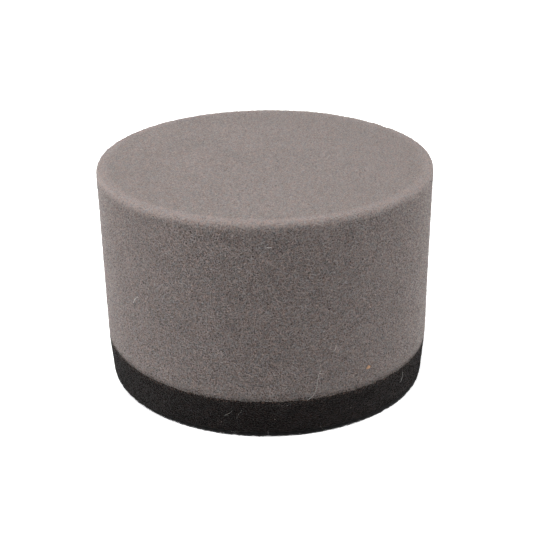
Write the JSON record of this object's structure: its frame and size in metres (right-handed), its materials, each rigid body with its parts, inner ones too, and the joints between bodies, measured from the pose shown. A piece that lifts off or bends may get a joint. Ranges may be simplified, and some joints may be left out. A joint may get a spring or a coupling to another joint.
{
  "type": "foam polishing wheel",
  "caption": "Cylindrical foam polishing wheel with a flat working face, laminated to a thin dense backing whose loop-fabric underside grips a hook-faced plate.",
  "frame": {"origin": "centre of the underside, on the grip face of the loop fabric", "axes": "+Z along the wheel's own axis, out of the working face; X and Y are free, because the wheel is round"},
  "size_m": [0.075, 0.075, 0.05],
  "materials": {
    "polishing_foam": "matte",
    "backing_foam": "matte",
    "loop_fabric": "matte",
    "adhesive": "satin"
  },
  "bodies": {
    "root": {"polishing_foam": "polishing_foam", "foam_bond": "adhesive", "backing_foam": "backing_foam", "loop_bond": "adhesive", "loop_fabric": "loop_fabric"}
  },
  "joints": []
}
